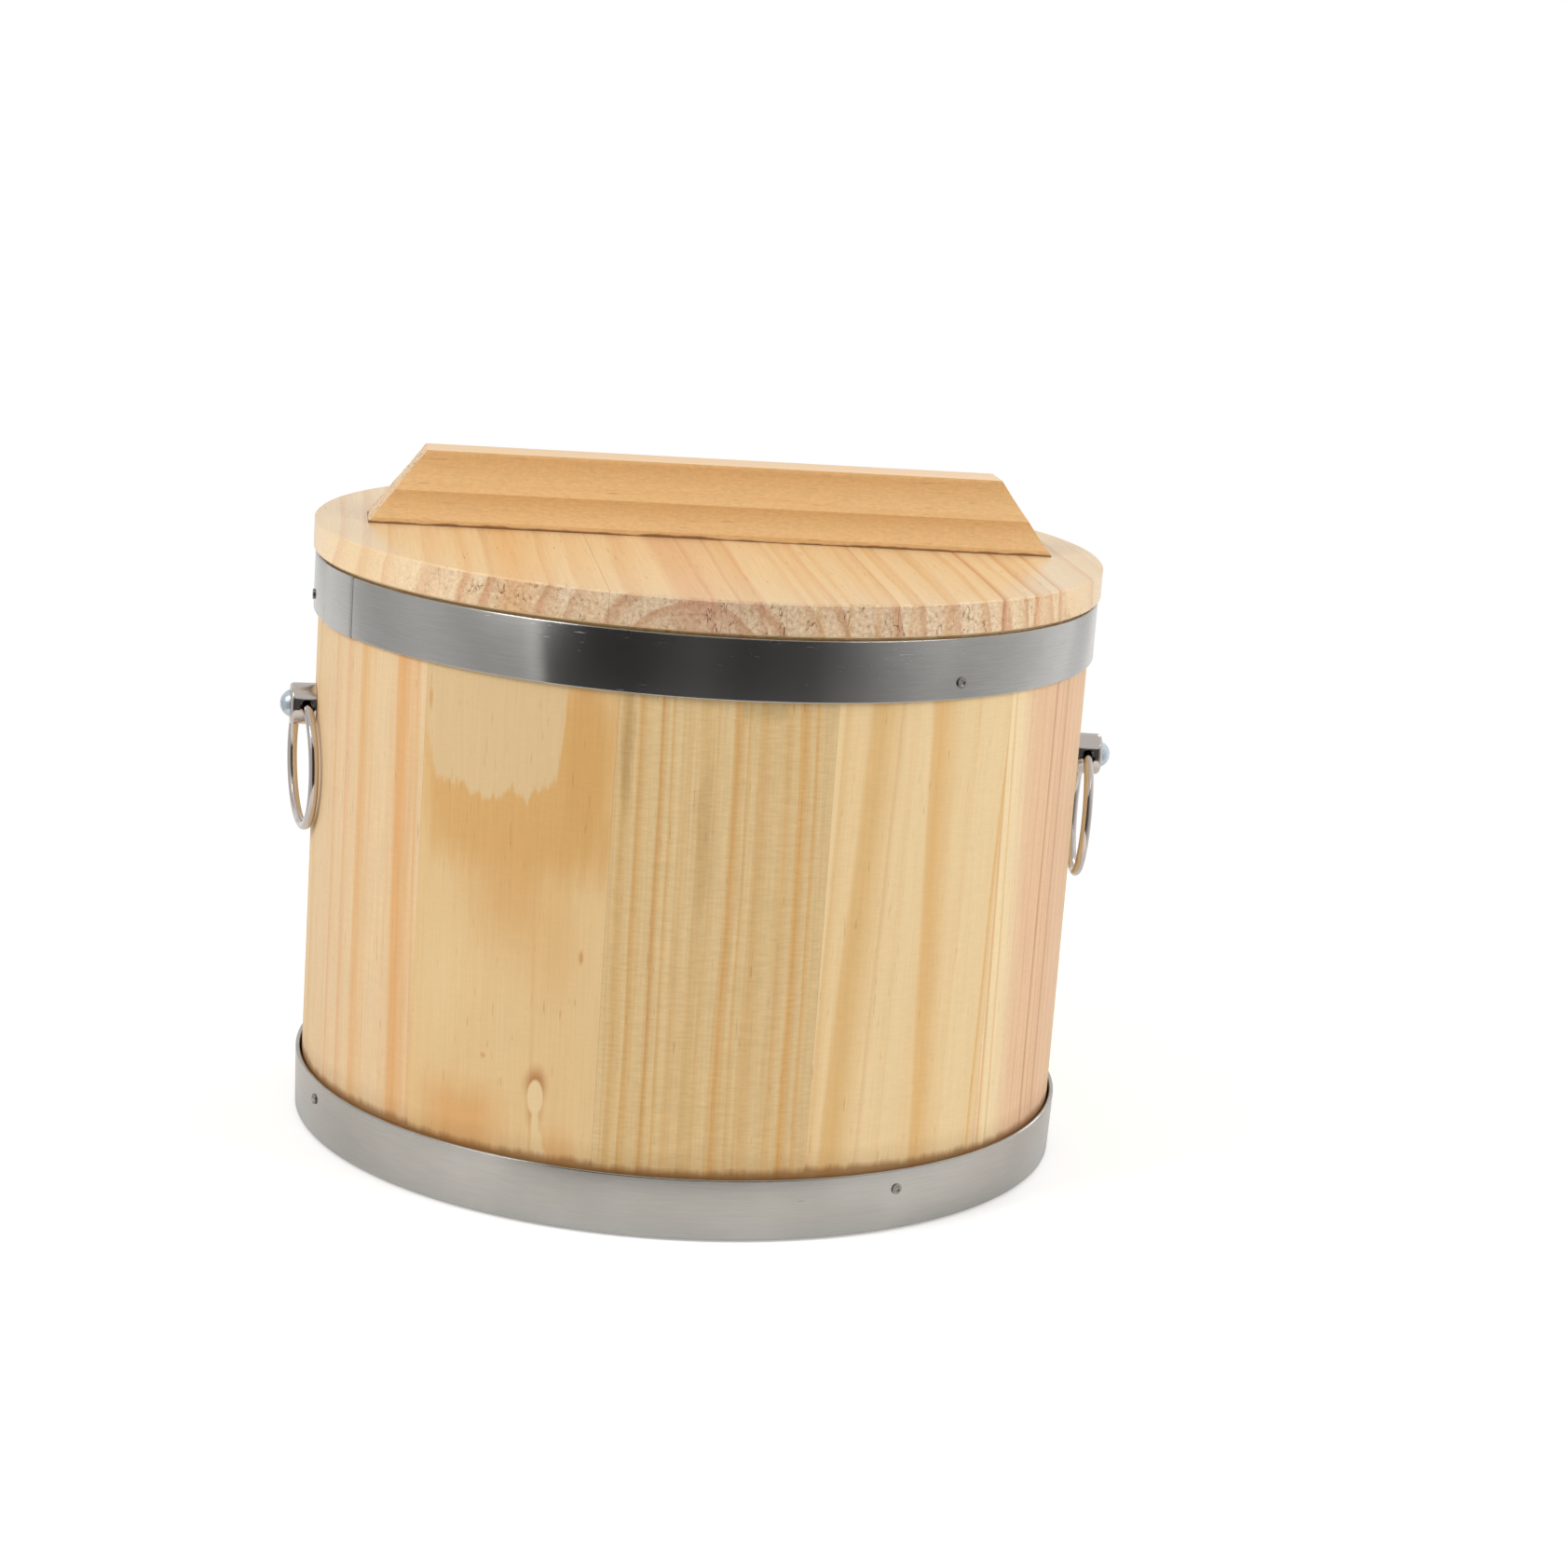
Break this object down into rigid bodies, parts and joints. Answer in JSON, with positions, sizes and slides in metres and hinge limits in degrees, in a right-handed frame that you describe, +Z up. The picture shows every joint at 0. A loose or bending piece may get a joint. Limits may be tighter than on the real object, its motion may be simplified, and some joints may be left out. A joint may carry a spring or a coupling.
{
  "type": "ohitsu rice tub",
  "caption": "Small coopered pine rice tub with two steel hoops, hanging side rings and a loose lid with a fluted bar handle.",
  "frame": {"origin": "centre of the tub's foot, on the surface that it stands on", "axes": "+Z up along the tub's axis, +X from the left lug to the right lug, -Y the side seen in front"},
  "size_m": [0.1866, 0.175, 0.1507],
  "materials": {
    "stave_pine": "planed bare pine",
    "board_pine": "planed bare pine",
    "handle_pine": "sanded bare pine",
    "bamboo": "split bamboo",
    "hoop_steel": "brushed stainless steel",
    "nail_steel": "dull steel",
    "nickel": "polished nickel plating",
    "zinc": "bright zinc plating"
  },
  "bodies": {
    "tub": {"stave_01": "stave_pine", "stave_02": "stave_pine", "stave_03": "stave_pine", "stave_04": "stave_pine", "stave_05": "stave_pine", "stave_06": "stave_pine", "stave_07": "stave_pine", "stave_08": "stave_pine", "stave_09": "stave_pine", "stave_10": "stave_pine", "stave_11": "stave_pine", "stave_12": "stave_pine", "stave_pins": "bamboo", "bottom_board_left": "board_pine", "bottom_board_right": "board_pine", "bottom_dowels": "bamboo", "upper_hoop": "hoop_steel", "lower_hoop": "hoop_steel", "upper_hoop_nails": "nail_steel", "lower_hoop_nails": "nail_steel", "left_lug": "nickel", "right_lug": "nickel", "left_lug_screw": "zinc", "right_lug_screw": "zinc"},
    "left_ring": {"left_ring": "nickel"},
    "right_ring": {"right_ring": "nickel"},
    "lid": {"lid_board_left": "board_pine", "lid_board_middle": "board_pine", "lid_board_right": "board_pine", "lid_plug": "board_pine", "lid_handle": "handle_pine", "handle_screws": "nail_steel"}
  },
  "joints": [
    {"name": "lid_lift", "type": "slide", "parent": "tub", "child": "lid", "axis": [0, 0, 1], "range_m": [0, 0.12]},
    {"name": "left_ring_swing", "type": "hinge", "parent": "tub", "child": "left_ring", "pos_m": [-0.08802, -0.00693, 0.0931], "axis": [-0.1994, 0.9799, 0], "range_deg": [0, 165]},
    {"name": "right_ring_swing", "type": "hinge", "parent": "tub", "child": "right_ring", "pos_m": [0.08801, -0.00693, 0.0901], "axis": [-0.0958, -0.9954, 0], "range_deg": [0, 165]}
  ]
}
